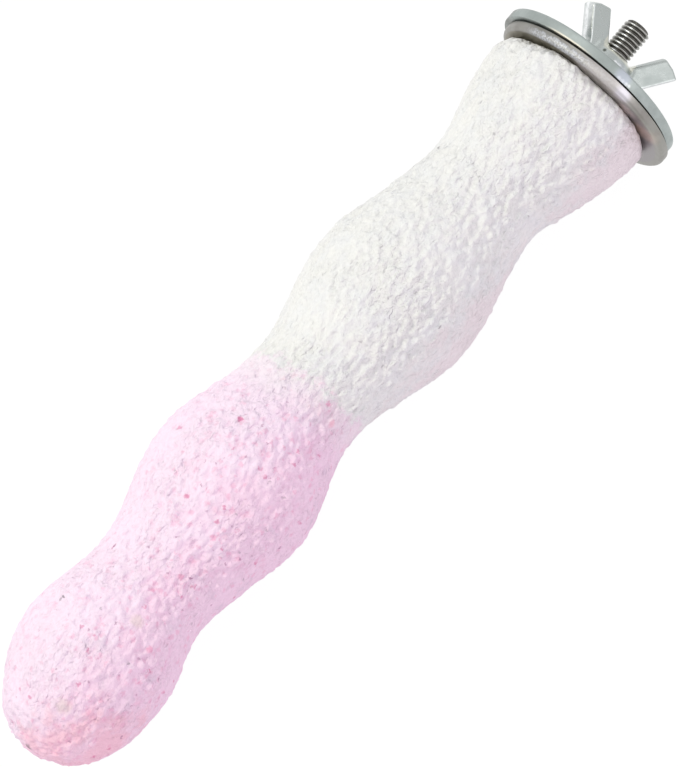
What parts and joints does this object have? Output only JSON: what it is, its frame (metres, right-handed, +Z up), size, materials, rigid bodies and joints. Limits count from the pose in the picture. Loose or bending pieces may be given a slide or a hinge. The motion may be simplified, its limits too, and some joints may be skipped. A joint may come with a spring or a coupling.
{
  "type": "bird perch",
  "caption": "Wavy mineral bird perch in a white and a pink section, clamped to cage bars by a bolt, two large washers and a wing nut.",
  "frame": {"origin": "on the bolt's axis, at the face of the inner washer that bears on the cage bars", "axes": "+X out along the bolt, away from the perch; +Y towards the side that the perch bows to; +Z up"},
  "size_m": [0.2026, 0.0438, 0.0434],
  "materials": {
    "dowel_wood": "plain turned hardwood",
    "white_mineral": "matt rough cast mineral",
    "pink_mineral": "matt rough cast mineral with darker pink specks",
    "bolt_steel": "dull rolled thread",
    "inner_washer_steel": "worn pressed steel",
    "outer_washer_zinc": "bluish bright zinc plate",
    "wing_nut_zinc": "smooth zinc plated forging"
  },
  "bodies": {
    "perch": {"core_dowel": "dowel_wood", "white_coat": "white_mineral", "pink_coat": "pink_mineral", "hanger_bolt": "bolt_steel"},
    "inner_washer": {"inner_washer": "inner_washer_steel"},
    "outer_washer": {"outer_washer": "outer_washer_zinc"},
    "wing_nut": {"wing_nut": "wing_nut_zinc"}
  },
  "joints": [
    {"name": "inner_washer_spin", "type": "hinge", "parent": "perch", "child": "inner_washer", "pos_m": [0, 0, 0], "axis": [1, 0, 0], "continuous": true},
    {"name": "washer_slide", "type": "slide", "parent": "perch", "child": "outer_washer", "axis": [1, 0, 0], "range_m": [-0.00035, 0.007]},
    {"name": "nut_spin", "type": "hinge", "parent": "outer_washer", "child": "wing_nut", "pos_m": [0, 0, 0], "axis": [1, 0, 0], "range_deg": [-126, 2520]}
  ],
  "couplings": [
    {"joint": "nut_spin", "follows": "washer_slide", "rad_per_m": 6283.2}
  ]
}
